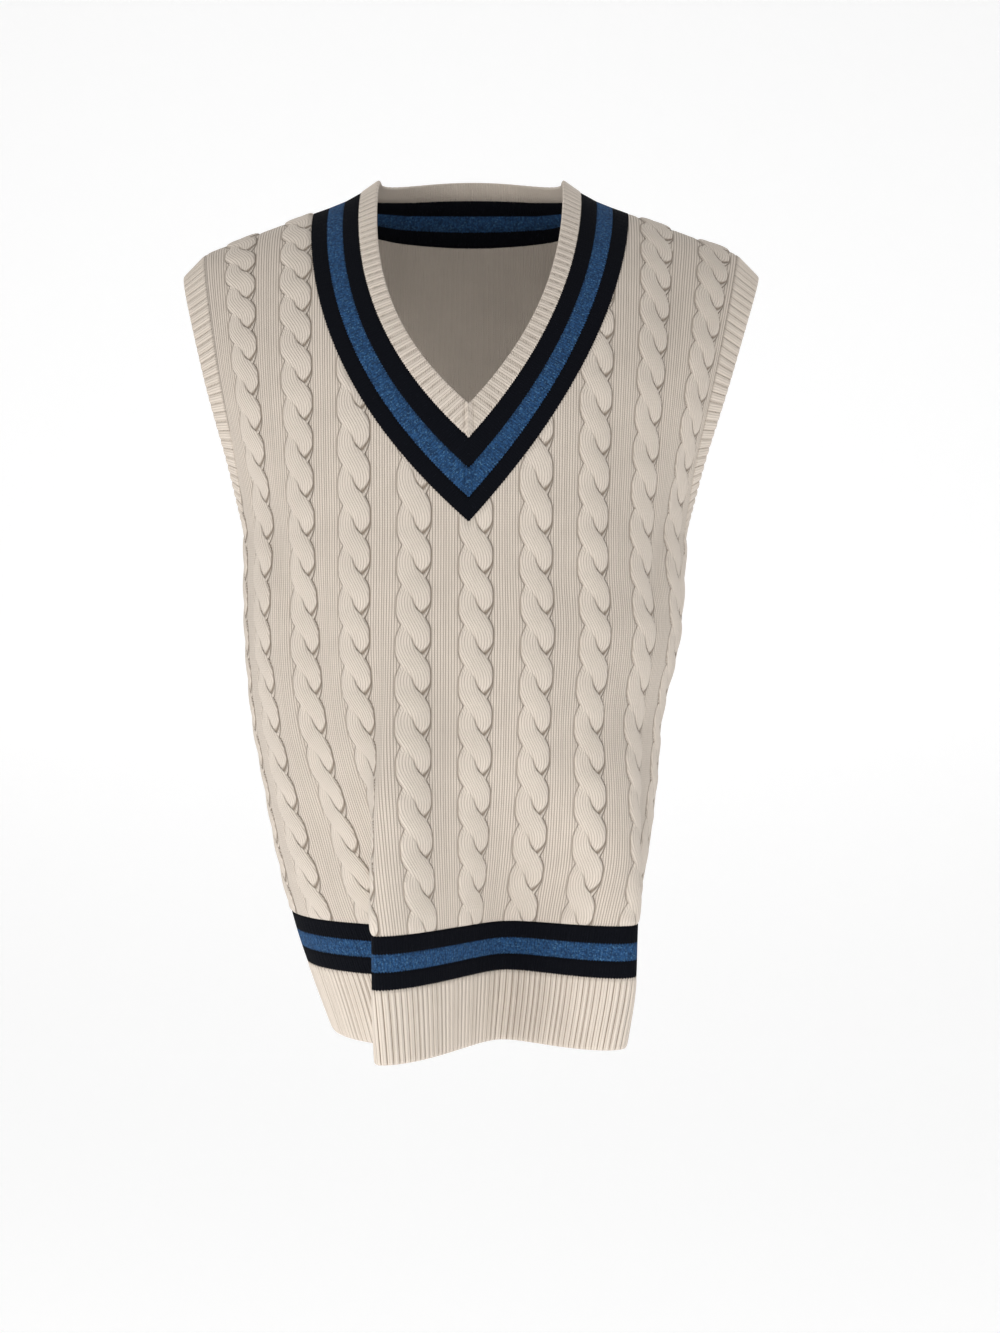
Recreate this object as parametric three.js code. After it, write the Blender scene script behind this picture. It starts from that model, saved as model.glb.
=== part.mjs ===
// A cable-knit sweater vest in the hollow form that it has when it is worn.
// Millimetres. +Z is up, the wearer's front faces -Y, and +X is on the right as the front is seen.
// The origin is midway between the two shoulder seams, at the middle of their height.
import * as THREE from 'three';

// ---------------------------------------------------------------- cloth and cut
const WALL = 3; // thickness of the knit
const GAP = 0.35; // between pieces that meet at a seam
const HALF_PANEL = 270; // half the width of the front or back, laid flat at the chest
const HALF_ACROSS_SHOULDERS = 222; // from the middle to the armhole seam at the shoulder
const ARMHOLE_BAND = 18;
const ARMHOLE_CURVE = 80; // height over which the armhole turns in under the arm
const SHOULDER_RISE = 320; // length of cloth from the chest line to the shoulder seam
const ARMPIT_RISE = -13; // the armhole's lowest point, measured from the chest line

// ---------------------------------------------------------------- levels
const CHEST_Z = -250; // rings below it, shoulder slopes above it
const STRIPE_TOP_Z = -560;
const STRIPE = 13.5; // height of each of the three hem stripes
const HEM_Z = -655;

// Rings below the chest line: how far each reaches from the middle, to every side.
const RINGS = [
  { z: -250, left: 188, right: 178, front: 135, back: 135 },
  { z: -330, left: 187, right: 176, front: 139, back: 139 },
  { z: -400, left: 181, right: 161, front: 140, back: 140 },
  { z: -450, left: 172, right: 157, front: 138, back: 138 },
  { z: -510, left: 161, right: 150, front: 128, back: 131 },
  { z: -570, left: 147, right: 139, front: 112, back: 119 },
  { z: -615, left: 132, right: 133, front: 104, back: 112 },
  { z: -655, left: 117, right: 122, front: 100, back: 109 },
];
const RING_POWER = 2.3; // 2 is an ellipse, more is squarer

// The folds. "place" counts quarters of the ring: 0 front, 1 right side, 2 back, -1 left side.
// A fold reaches out (or in, if negative) and fades over its two widths; "lean" tips it along the ring.
// It starts at "top", is whole at "full", keeps to "keeps" and is gone at "ends".
const FOLDS = [
  { place: -0.2, reach: 68, before: 16, after: 30, lean: -0.3, top: -300, full: -640, keeps: -700, ends: -800 },
  { place: 0.16, reach: -34, before: 34, after: 40, lean: 0, top: -380, full: -620, keeps: -700, ends: -800 },
  { place: 0.53, reach: 44, before: 28, after: 21, lean: 0.1, top: -380, full: -630, keeps: -700, ends: -800 },
  { place: 0.88, reach: -16, before: 14, after: 15, lean: 0, top: -262, full: -330, keeps: -500, ends: -590 },
  { place: -0.5, reach: -8, before: 20, after: 24, lean: 0, top: -255, full: -340, keeps: -470, ends: -560 },
  { place: -1.25, reach: 14, before: 22, after: 22, lean: 0, top: -300, full: -480, keeps: -700, ends: -800 },
  { place: 1.3, reach: 10, before: 20, after: 24, lean: 0, top: -262, full: -400, keeps: -700, ends: -800 },
  { place: 1.62, reach: 46, before: 26, after: 22, lean: -0.2, top: -400, full: -560, keeps: -700, ends: -800 },
  { place: 1.96, reach: -26, before: 36, after: 32, lean: 0, top: -430, full: -570, keeps: -700, ends: -800 },
  { place: -1.66, reach: 50, before: 24, after: 28, lean: 0.2, top: -390, full: -550, keeps: -700, ends: -800 },
];

// ---------------------------------------------------------------- shoulders and neck
const SHOULDER_Z = 21; // the shoulder seam's height where the neckband meets it
const NECK_HALF = 130; // half the width of the neckline there
const SHOULDER_SLOPE = 0.37;
const SHOULDER_ROUND = 40; // softens the slope across the middle
const COLLAR_RISE = { from: 115, to: 70, curve: 0.006 }; // the cloth climbs the side of the neck
const SHOULDER_DROP = { from: 215, curve: 0.02 }; // and falls off the end of the shoulder
const SHOULDER_FLARE = 1.1; // how late the cloth spreads out to its width at the shoulders
const FLAT_REACH = 310; // the upper chest is flatter than the ring: y falls with the cube of x / this
const FLAT_BY = 0.6; // share of the rise by which it is fully so

// The lines around the neck, from the neckline seam in to the edge of the rib.
// "tip" is the height of the V, "half" the half width at the shoulder seam, "power" how round the V is,
// "backY" and "backZ" where the line passes the middle of the back.
const NECK_LINES = [
  { tip: -247, half: 130, power: 2.0, backY: 76, backZ: 12 },
  { tip: -228.5, half: 117, power: 2.05, backY: 70, backZ: 24.5 },
  { tip: -206, half: 104, power: 2.15, backY: 64, backZ: 37 },
  { tip: -182.5, half: 91, power: 2.25, backY: 58, backZ: 49 },
  { tip: -157, half: 77, power: 2.6, backY: 52, backZ: 62 },
];
const LEFT_FULLER = 1.2; // the left arm of the V hangs rounder than the right by this much
const MITRE = 1.5; // a line moved in by 1 mm lifts the point of its V by this much
const NECK_STEPS = { front: 14, back: 8 };
const ARM_CURVE_SHARE = 0.35; // share of the armhole's steps that go round its curve

// ---------------------------------------------------------------- looks
const CREAM = { color: 0xd9cbb6, roughness: 0.95, metalness: 0 };
const BLACK = { color: 0x0b0d14, roughness: 0.95, metalness: 0 };
const BLUE = { color: 0x24568c, roughness: 0.95, metalness: 0 };

const FRONT = -1;
const BACK = 1;
const clamp = (x) => Math.min(1, Math.max(0, x));
const smooth = (x) => clamp(x) ** 2 * (3 - 2 * clamp(x));
const mix = (a, b, t) => a + (b - a) * t;
const mixPair = (p, q, t) => [mix(p[0], q[0], t), mix(p[1], q[1], t)];
const range = (count) => Array.from({ length: count }, (_, i) => i);

// ---------------------------------------------------------------- the rings below the chest line
// A column of the ring table at height z, on a smooth curve through its rows.
function ringSize(column, z) {
  const last = RINGS.length - 1;
  const i = Math.min(Math.max(RINGS.findIndex((row) => row.z <= z) - 1, 0), last - 1);
  const k = z < RINGS[last].z ? last - 1 : i;
  const slope = (n) => {
    const [a, b] = [RINGS[Math.max(n - 1, 0)], RINGS[Math.min(n + 1, last)]];
    return (b[column] - a[column]) / (b.z - a.z);
  };
  const [a, b] = [RINGS[k], RINGS[k + 1]];
  const step = b.z - a.z;
  const t = (z - a.z) / step;
  const bend = (1 - t) * slope(k) - t * slope(k + 1);
  const line = mix(a[column], b[column], t);
  return line + t * (1 - t) * (step * bend + (2 * t - 1) * (b[column] - a[column]));
}

// How far a fold has grown at height z.
function foldGrowth(fold, z) {
  const begun = smooth((fold.top - z) / (fold.top - fold.full));
  const left = 1 - smooth((fold.keeps - z) / (fold.keeps - fold.ends));
  return begun * left;
}

// A quarter of the ring at height z, as points from its middle line to the side seam, with the length to each.
const QUARTER_STEPS = 60;
const ringCache = new Map();
function quarterRing(side, hand, z) {
  const key = `${side},${hand},${z}`;
  if (ringCache.has(key)) return ringCache.get(key);
  const across = ringSize(hand < 0 ? 'left' : 'right', z);
  const deep = ringSize(side === FRONT ? 'front' : 'back', z);
  const base = range(QUARTER_STEPS + 1).map((i) => {
    const angle = (i / QUARTER_STEPS) * (Math.PI / 2);
    const x = across * Math.sin(angle) ** (2 / RING_POWER);
    return [hand * x, side * deep * Math.cos(angle) ** (2 / RING_POWER)];
  });
  const baseLength = runningLength(base);
  const whole = baseLength[QUARTER_STEPS];
  const points = base.map(([x, y], i) => {
    const [px, py] = base[Math.max(i - 1, 0)];
    const [qx, qy] = base[Math.min(i + 1, QUARTER_STEPS)];
    const size = Math.hypot(qx - px, qy - py);
    const turn = hand * side === -1 ? 1 : -1; // makes the tangent run the same way round the whole ring
    const [tx, ty] = [(turn * (qx - px)) / size, (turn * (qy - py)) / size];
    const share = baseLength[i] / whole;
    const place = hand * (side === FRONT ? share : 2 - share);
    let [out, along] = [0, 0];
    for (const fold of FOLDS) {
      const apart = ((((place - fold.place + 2) % 4) + 4) % 4) - 2;
      const away = (apart * whole) / (apart < 0 ? fold.before : fold.after);
      const reach = fold.reach * foldGrowth(fold, z) * Math.exp(-away * away);
      out += reach;
      along += reach * fold.lean;
    }
    return [x + ty * out + tx * along, y - tx * out + ty * along];
  });
  const ring = { points, lengths: runningLength(points) };
  ringCache.set(key, ring);
  return ring;
}

function runningLength(points) {
  const lengths = [0];
  for (let i = 1; i < points.length; i += 1) {
    const [p, q] = [points[i - 1], points[i]];
    lengths.push(lengths[i - 1] + Math.hypot(q[0] - p[0], q[1] - p[1]));
  }
  return lengths;
}

// The ring's point under a column of cloth, "across" mm from the middle of a panel.
function ringPoint(side, across, z) {
  const hand = across < 0 ? -1 : 1;
  const { points, lengths } = quarterRing(side, hand, z);
  const want = (Math.abs(across) / HALF_PANEL) * lengths[QUARTER_STEPS];
  const found = lengths.findIndex((length) => length >= want - 1e-9);
  const i = Math.max(found === -1 ? QUARTER_STEPS : found, 1);
  return mixPair(points[i - 1], points[i], (want - lengths[i - 1]) / (lengths[i] - lengths[i - 1]));
}

// ---------------------------------------------------------------- the whole surface
// Height of the shoulder line over a column.
function shoulderZ(across) {
  const x = Math.abs(across);
  const slope = SHOULDER_SLOPE * (Math.hypot(x, SHOULDER_ROUND) - Math.hypot(NECK_HALF, SHOULDER_ROUND));
  const climb = Math.max(0, COLLAR_RISE.from - Math.max(x, COLLAR_RISE.to));
  const drop = Math.max(0, x - SHOULDER_DROP.from);
  return SHOULDER_Z - slope + COLLAR_RISE.curve * climb ** 2 - SHOULDER_DROP.curve * drop ** 2;
}

// The cloth's outer face. "rise" is measured along it from the chest line: negative below, where it hangs
// straight down, and up to SHOULDER_RISE above, where each column is a quarter of an ellipse.
// Past a side or shoulder seam the surface carries on round the other panel.
function clothPoint(side, across, rise) {
  if (rise > SHOULDER_RISE) return clothPoint(-side, across, 2 * SHOULDER_RISE - rise);
  if (Math.abs(across) > HALF_PANEL) {
    return clothPoint(-side, Math.sign(across) * (2 * HALF_PANEL - Math.abs(across)), rise);
  }
  if (rise <= 0) return new THREE.Vector3(...ringPoint(side, across, CHEST_Z + rise), CHEST_Z + rise);
  const angle = (rise / SHOULDER_RISE) * (Math.PI / 2);
  const up = Math.sin(angle);
  const [x0, y0] = ringPoint(side, across, CHEST_Z);
  const deep = ringSize(side === FRONT ? 'front' : 'back', CHEST_Z);
  const flat = side * deep * (1 - (Math.abs(across) / FLAT_REACH) ** 3);
  const y = mix(y0, flat, smooth(up / FLAT_BY)) * Math.cos(angle);
  return new THREE.Vector3(
    mix(x0, across, up ** SHOULDER_FLARE),
    y,
    mix(CHEST_Z, shoulderZ(across), up),
  );
}

// The rise at which a column of the upper part passes height z.
function riseAt(across, z) {
  const up = (z - CHEST_Z) / (shoulderZ(across) - CHEST_Z);
  return (Math.asin(Math.min(up, 1)) / (Math.PI / 2)) * SHOULDER_RISE;
}

// The direction out of the cloth, from steps of 1 mm along it both ways.
function clothNormal(side, across, rise) {
  const east = clothPoint(side, across + 1, rise).sub(clothPoint(side, across - 1, rise));
  const north = clothPoint(side, across, rise + 1).sub(clothPoint(side, across, rise - 1));
  return east.cross(north).multiplyScalar(-side).normalize();
}

const onCloth = (side, [across, rise]) => ({
  point: clothPoint(side, across, rise),
  normal: clothNormal(side, across, rise),
});

// ---------------------------------------------------------------- seam lines
// The armhole as (across, rise), from the side seam (share 0) to the shoulder seam (share 1).
// "inset" moves it out of the panel, towards the opening.
function armholeLine(share, inset) {
  const middle = ARMPIT_RISE + ARMHOLE_CURVE;
  if (share >= ARM_CURVE_SHARE) {
    const up = (share - ARM_CURVE_SHARE) / (1 - ARM_CURVE_SHARE);
    return [HALF_ACROSS_SHOULDERS + inset, mix(middle, SHOULDER_RISE, up)];
  }
  const angle = (1 - share / ARM_CURVE_SHARE) * (Math.PI / 2);
  const cutIn = HALF_PANEL - HALF_ACROSS_SHOULDERS - inset;
  return [HALF_PANEL - cutIn * Math.cos(angle), middle - (ARMHOLE_CURVE - inset) * Math.sin(angle)];
}

// A neck line's front half as (across, rise), from the point of the V (share 0) to the shoulder (share 1).
function neckFront(line, share, inset, hand) {
  const half = line.half - inset;
  const tip = line.tip + MITRE * inset;
  const up = Math.sin((share * Math.PI) / 2);
  const across = half * (1 - (1 - up) ** (hand < 0 ? line.power * LEFT_FULLER : line.power));
  const top = shoulderZ(half);
  return share >= 1 ? [half, SHOULDER_RISE] : [across, riseAt(across, mix(tip, top, up))];
}

// The neckline seam's back half as (across, rise), from the middle of the back (0) to the shoulder (1).
function neckSeamBack(share, inset) {
  const [line] = NECK_LINES;
  const angle = ((1 - share) * Math.PI) / 2;
  const across = (line.half - inset) * Math.cos(angle);
  const z = mix(shoulderZ(line.half - inset), line.backZ + inset, Math.sin(angle) ** 2);
  return share >= 1 ? [line.half - inset, SHOULDER_RISE] : [across, riseAt(across, z)];
}

// A neck line's back half in space: an arc round the back of the neck, drawn towards the seam's own line.
function neckBackPoint(line, share, inset) {
  const [seam] = NECK_LINES;
  const edge = NECK_LINES[NECK_LINES.length - 1];
  const arc = ({ half, backY, backZ }, moved) => {
    const angle = ((1 - share) * Math.PI) / 2;
    return new THREE.Vector3(
      (half - moved) * Math.cos(angle),
      (backY - moved / 2) * Math.sin(angle),
      mix(shoulderZ(half - moved), backZ + moved, Math.sin(angle) ** 2),
    );
  };
  const near = (line.half - edge.half) / (seam.half - edge.half);
  const offArc = clothPoint(BACK, ...neckSeamBack(share, 0)).sub(arc(seam, 0));
  return arc(line, inset).add(offArc.multiplyScalar(near));
}

// ---------------------------------------------------------------- solids
// A wall of cloth: "cells" are quads of vertex numbers, seen from outside and counterclockwise.
// The inner face is the outer one moved in by WALL, and every open edge is closed between the two.
function clothWall(vertices, cells, look, name) {
  const count = vertices.length;
  const outer = vertices.map(({ point }) => point);
  const inner = vertices.map(({ point, normal }) => point.clone().addScaledVector(normal, -WALL));
  const triangles = [];
  const edges = new Map();
  const quad = (a, b, c, d) => triangles.push(a, b, c, a, c, d);
  for (const [a, b, c, d] of cells) {
    quad(a, b, c, d);
    quad(d + count, c + count, b + count, a + count);
    for (const [p, q] of [[a, b], [b, c], [c, d], [d, a]]) {
      if (!edges.delete(`${q},${p}`)) edges.set(`${p},${q}`, [p, q]);
    }
  }
  for (const [p, q] of edges.values()) quad(q, p, p + count, q + count);
  const geometry = new THREE.BufferGeometry();
  const numbers = [...outer, ...inner].flatMap((p) => [p.x, p.y, p.z]);
  geometry.setAttribute('position', new THREE.Float32BufferAttribute(numbers, 3));
  geometry.setIndex(triangles);
  geometry.computeVertexNormals();
  const mesh = new THREE.Mesh(geometry, new THREE.MeshStandardMaterial(look));
  mesh.name = name;
  return mesh;
}

// Cells of a grid whose rows run to the right as seen from outside, the lowest row first.
function gridCells(rows) {
  const cells = [];
  for (let r = 0; r + 1 < rows.length; r += 1) {
    for (let c = 0; c + 1 < rows[r].length; c += 1) {
      cells.push([rows[r][c], rows[r][c + 1], rows[r + 1][c + 1], rows[r + 1][c]]);
    }
  }
  return cells;
}

// Seen from outside, the front's rows run from -X to +X and the back's the other way.
const seenRight = (side) => -side;

// A panel from the top of the stripes to the shoulders, in one piece.
// Below the armpits its rows cross the whole panel. Above, a row runs from each armhole to the neck,
// so it parts in two once the neckline has begun.
function bodyPanel(side, columns, name) {
  const vertices = [];
  const half = columns / 2;
  const add = (pair) => vertices.push(onCloth(side, pair)) - 1;
  const lowRows = 6;
  const armpit = ARMPIT_RISE - GAP / 2;
  const foot = STRIPE_TOP_Z - CHEST_Z + GAP / 2;
  const rows = range(lowRows).map((r) => {
    const rise = mix(foot, armpit, r / lowRows);
    return range(columns + 1).map((c) => {
      const across = mix(-1, 1, c / columns) * (HALF_PANEL - GAP / 2) * seenRight(side);
      return add([across, rise]);
    });
  });
  const neckEdge = (hand) => (side === FRONT ? frontNeckEdge(hand) : backNeckEdge());
  const rightNeck = neckEdge(1);
  const upper = neckEdge(-1).map((leftEnd, r) => {
    const [armAcross, armRise] = armholeLine(r / (rightNeck.length - 1), -GAP / 2);
    const armEnd = [Math.min(armAcross, HALF_PANEL - GAP / 2), Math.min(armRise, SHOULDER_RISE - GAP)];
    const span = (hand, neckEnd) => range(half + 1).map((c) => {
      const inNeck = [neckEnd[0], Math.min(neckEnd[1], SHOULDER_RISE - GAP)];
      const [across, rise] = mixPair(armEnd, inNeck, c / half);
      return [across * hand * seenRight(side), rise];
    });
    const leftRow = span(-1, leftEnd).map(add);
    const rightPairs = span(1, rightNeck[r]).reverse();
    const shared = leftEnd[0] === 0;
    const rightRow = rightPairs.map((pair, c) => (c === 0 && shared ? leftRow[half] : add(pair)));
    return { leftRow, rightRow };
  });
  const whole = [...rows, [...upper[0].leftRow, ...upper[0].rightRow.slice(1)]];
  const cells = [
    ...gridCells(whole),
    ...gridCells(upper.map(({ leftRow }) => leftRow)),
    ...gridCells(upper.map(({ rightRow }) => rightRow)),
  ];
  return clothWall(vertices, cells, CREAM, name);
}

// The inner ends of the rows above the armpits: first up the panel's middle line, then along the neckline.
function frontNeckEdge(hand) {
  const [seam] = NECK_LINES;
  const neckline = range(NECK_STEPS.front + 1).map((i) => neckFront(seam, i / NECK_STEPS.front, -GAP / 2, hand));
  return [[0, ARMPIT_RISE - GAP / 2], ...neckline];
}

function backNeckEdge() {
  const neckline = range(NECK_STEPS.back + 1).map((i) => neckSeamBack(i / NECK_STEPS.back, -GAP / 2));
  const start = ARMPIT_RISE - GAP / 2;
  const straight = 6;
  const [, end] = neckline[0];
  const middle = range(straight).map((i) => [0, mix(start, end, i / straight)]);
  return [...middle, [0, end], ...neckline.slice(1)];
}

// A band round one panel's foot, from height top to height foot.
function footBand(side, columns, top, foot, rowCount, look, name) {
  const vertices = [];
  const rows = range(rowCount + 1).map((r) => {
    const rise = mix(foot, top, r / rowCount) - CHEST_Z;
    return range(columns + 1).map((c) => {
      const across = mix(-1, 1, c / columns) * (HALF_PANEL - GAP / 2) * seenRight(side);
      return vertices.push(onCloth(side, [across, rise])) - 1;
    });
  });
  return clothWall(vertices, gridCells(rows), look, name);
}

// The stations round the neck, a closed ring that starts at the point of the V.
const NECK_STOPS = [
  ...range(NECK_STEPS.front).map((i) => ({ side: FRONT, hand: 1, share: i / NECK_STEPS.front })),
  ...range(NECK_STEPS.back).map((i) => ({ side: BACK, hand: 1, share: 1 - i / NECK_STEPS.back })),
  ...range(NECK_STEPS.back).map((i) => ({ side: BACK, hand: -1, share: i / NECK_STEPS.back })),
  ...range(NECK_STEPS.front).map((i) => ({ side: FRONT, hand: -1, share: 1 - i / NECK_STEPS.front })),
];

// One neck line all round. Its wall stands square to the cloth, and where it has left the panel at the
// back of the neck, square to the band itself.
function neckLoop(index, inset) {
  const place = (line, moved, { side, hand, share }) => {
    if (side === FRONT) {
      const [across, rise] = neckFront(line, share, moved, hand);
      return clothPoint(FRONT, hand * across, rise);
    }
    const point = neckBackPoint(line, share, moved);
    return new THREE.Vector3(hand * point.x, point.y, point.z);
  };
  const loop = (i, moved) => NECK_STOPS.map((stop) => place(NECK_LINES[i], moved, stop));
  const wider = loop(Math.max(index - 1, 0), 0);
  const tighter = loop(Math.min(index + 1, NECK_LINES.length - 1), 0);
  const own = loop(index, 0);
  const count = own.length;
  return loop(index, inset).map((point, i) => {
    const { side, hand, share } = NECK_STOPS[i];
    if (side === FRONT || index === 0) {
      const pair = side === FRONT ? neckFront(NECK_LINES[index], share, 0, hand) : neckSeamBack(share, 0);
      return { point, normal: clothNormal(side, hand * pair[0], pair[1]) };
    }
    const along = own[(i + 1) % count].clone().sub(own[(i + count - 1) % count]);
    return { point, normal: along.cross(tighter[i].clone().sub(wider[i])).normalize() };
  });
}

// A closed ring of cloth between two loops of vertices. Its outer face is seen with the first loop
// running to the right and the second above it.
function ringWall(lower, upper, look, name) {
  const count = lower.length;
  const cells = lower.map((_, i) => {
    const next = (i + 1) % count;
    return [i, next, next + count, i + count];
  });
  return clothWall([...lower, ...upper], cells, look, name);
}

// The rib round an armhole: a closed ring from the side seam up the front and down the back.
function armholeBand(hand, name) {
  const frontSteps = frontNeckEdge().length - 1;
  const backSteps = backNeckEdge().length - 1;
  const stops = [
    ...range(frontSteps).map((i) => ({ side: FRONT, share: i / frontSteps })),
    ...range(backSteps).map((i) => ({ side: BACK, share: 1 - i / backSteps })),
  ];
  if (hand > 0) stops.reverse();
  const loop = (inset) => stops.map(({ side, share }) => {
    const [across, rise] = armholeLine(share, inset);
    return onCloth(side, [hand * across, rise]);
  });
  return ringWall(loop(GAP / 2), loop(ARMHOLE_BAND), CREAM, name);
}

// ---------------------------------------------------------------- the garment
const vest = new THREE.Group();

const PANELS = [
  { side: FRONT, word: 'front', columns: 40 },
  { side: BACK, word: 'back', columns: 28 },
];
const FOOT_BANDS = [
  { name: 'stripe_upper_black', height: STRIPE, rows: 1, look: BLACK },
  { name: 'stripe_blue', height: STRIPE, rows: 1, look: BLUE },
  { name: 'stripe_lower_black', height: STRIPE, rows: 1, look: BLACK },
  { name: 'hem_rib', height: STRIPE_TOP_Z - 3 * STRIPE - HEM_Z, rows: 2, look: CREAM },
];
for (const { side, word, columns } of PANELS) {
  vest.add(bodyPanel(side, columns, `${word}_body`));
  let top = STRIPE_TOP_Z;
  for (const band of FOOT_BANDS) {
    const foot = top - band.height;
    const lowest = foot === HEM_Z ? foot : foot + GAP / 2;
    vest.add(footBand(side, columns, top - GAP / 2, lowest, band.rows, band.look, `${word}_${band.name}`));
    top = foot;
  }
}

const NECK_BANDS = [
  { name: 'neck_outer_black', look: BLACK },
  { name: 'neck_blue', look: BLUE },
  { name: 'neck_inner_black', look: BLACK },
  { name: 'neck_rib', look: CREAM },
];
NECK_BANDS.forEach(({ name, look }, i) => {
  vest.add(ringWall(neckLoop(i, GAP / 2), neckLoop(i + 1, -GAP / 2), look, name));
});

vest.add(armholeBand(-1, 'armhole_rib_left'));
vest.add(armholeBand(1, 'armhole_rib_right'));

export default vest;
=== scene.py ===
# %% [markdown]
# # A cable-knit sweater vest
#
# This lesson makes a knitted vest, hollow and in the shape that it has when it is worn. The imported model
# gives the frame: every piece here stands where one of its solids stands, in metres, and replaces it.
# Knitwear is one smooth sheet with two sizes of relief on it. The large one, cables and ribs, is geometry.
# The small one, the stitches, is in the material.

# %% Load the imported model
import bpy
import numpy as np
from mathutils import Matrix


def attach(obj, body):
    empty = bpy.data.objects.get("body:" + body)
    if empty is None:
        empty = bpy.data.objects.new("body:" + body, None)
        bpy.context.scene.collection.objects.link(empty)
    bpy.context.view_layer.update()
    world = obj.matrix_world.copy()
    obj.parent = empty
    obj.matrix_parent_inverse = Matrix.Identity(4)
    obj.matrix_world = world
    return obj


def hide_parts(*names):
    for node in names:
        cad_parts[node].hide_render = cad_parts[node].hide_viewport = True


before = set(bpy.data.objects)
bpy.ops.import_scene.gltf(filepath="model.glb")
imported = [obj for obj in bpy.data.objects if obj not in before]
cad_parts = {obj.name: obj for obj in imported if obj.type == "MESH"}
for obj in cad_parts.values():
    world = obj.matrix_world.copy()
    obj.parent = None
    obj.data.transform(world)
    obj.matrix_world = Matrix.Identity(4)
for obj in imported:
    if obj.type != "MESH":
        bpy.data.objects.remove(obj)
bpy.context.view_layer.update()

MM = 0.001

# %% [markdown]
# ## The camera
#
# The vest is seen square from the front, from a metre and a half away and from the height of its middle.
# A camera that close makes the near folds of the hem hang lower in the view than the hollows between them.

# %% Camera
CAMERA_PLACE = (0.024, -1.5, -0.358)
CAMERA_LENS = 48.2

camera_data = bpy.data.cameras.new("camera")
camera_data.lens = CAMERA_LENS
camera_data.sensor_width = 36
camera = bpy.data.objects.new("camera", camera_data)
camera.location = CAMERA_PLACE
camera.rotation_euler = (np.pi / 2, 0, 0)
bpy.context.scene.collection.objects.link(camera)
bpy.context.scene.camera = camera

# %% [markdown]
# ## The cut and the rings
#
# A knitter thinks in cloth: how far across a panel, how far up it. So every shape here is a function of two
# lengths in millimetres. `station` goes round the vest: 0 is the middle of the front, 270 the right side
# seam, 540 the middle of the back, and -270 the left side seam. `rise` goes up from the chest line.
# The table holds how far the body reaches to each side at a few levels, and each ring between them lies on
# a smooth curve through the table.

# %% Sizes of the cut, in millimetres
HALF_PANEL = 270.0
HALF_ROUND = 2 * HALF_PANEL
HALF_ACROSS_SHOULDERS = 222.0
ARMHOLE_BAND = 18.0
ARMHOLE_CURVE = 80.0
SHOULDER_RISE = 320.0
ARMPIT_RISE = -13.0
CHEST_Z = -250.0
STRIPE_TOP_Z = -560.0
STRIPE = 13.5
HEM_Z = -655.0
WALL = 3.0

#            level   left  right  front  back
RINGS = np.array([
    (-250.0, 188.0, 178.0, 135.0, 135.0),
    (-330.0, 187.0, 176.0, 139.0, 139.0),
    (-400.0, 181.0, 161.0, 140.0, 140.0),
    (-450.0, 172.0, 157.0, 138.0, 138.0),
    (-510.0, 161.0, 150.0, 128.0, 131.0),
    (-570.0, 147.0, 139.0, 112.0, 119.0),
    (-615.0, 132.0, 133.0, 104.0, 112.0),
    (-655.0, 117.0, 122.0, 100.0, 109.0),
])
LEFT, RIGHT, FRONT_DEEP, BACK_DEEP = 1, 2, 3, 4
RING_POWER = 2.3


def ring_size(column, z):
    """A column of the table at height z: a cubic between two rows, each row's slope from its neighbours."""
    level, size = RINGS[::-1, 0], RINGS[::-1, column]
    rows = np.arange(len(level))
    low = np.maximum(rows - 1, 0)
    high = np.minimum(rows + 1, len(level) - 1)
    slope = (size[high] - size[low]) / (level[high] - level[low])
    k = np.clip(np.searchsorted(level, z, side="right") - 1, 0, len(level) - 2)
    step = level[k + 1] - level[k]
    t = (z - level[k]) / step
    change = size[k + 1] - size[k]
    bend = (1 - t) * slope[k] - t * slope[k + 1]
    return size[k] + t * change + t * (1 - t) * (step * bend + (2 * t - 1) * change)


# %% [markdown]
# ## The folds
#
# The spare cloth of a straight vest gathers in folds towards the hem. Simulated cloth would put them where
# it likes, so these are given one by one: each is a soft ridge or trough with its own reach, its two widths,
# a lean that lets it overhang, and the levels where it starts and fades. `place` counts quarters of the ring.

# %% Folds
#       place  reach before after  lean    top   full  keeps   ends
FOLDS = np.array([
    (-0.20, 68.0, 16.0, 30.0, -0.3, -300.0, -640.0, -700.0, -800.0),
    (0.16, -34.0, 34.0, 40.0, 0.0, -380.0, -620.0, -700.0, -800.0),
    (0.53, 44.0, 28.0, 21.0, 0.1, -380.0, -630.0, -700.0, -800.0),
    (0.88, -16.0, 14.0, 15.0, 0.0, -262.0, -330.0, -500.0, -590.0),
    (-0.50, -8.0, 20.0, 24.0, 0.0, -255.0, -340.0, -470.0, -560.0),
    (-1.25, 14.0, 22.0, 22.0, 0.0, -300.0, -480.0, -700.0, -800.0),
    (1.30, 10.0, 20.0, 24.0, 0.0, -262.0, -400.0, -700.0, -800.0),
    (1.62, 46.0, 26.0, 22.0, -0.2, -400.0, -560.0, -700.0, -800.0),
    (1.96, -26.0, 36.0, 32.0, 0.0, -430.0, -570.0, -700.0, -800.0),
    (-1.66, 50.0, 24.0, 28.0, 0.2, -390.0, -550.0, -700.0, -800.0),
])


def smooth(x):
    """0 below 0, 1 above 1, and an S-shaped curve between."""
    x = np.clip(x, 0, 1)
    return x * x * (3 - 2 * x)


def mix(a, b, t):
    return a + (b - a) * t


RING_LEVELS = np.arange(CHEST_Z, HEM_Z - 3, -2.0)
RING_ANGLES = 960
STATION_STEP = 0.5


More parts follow.
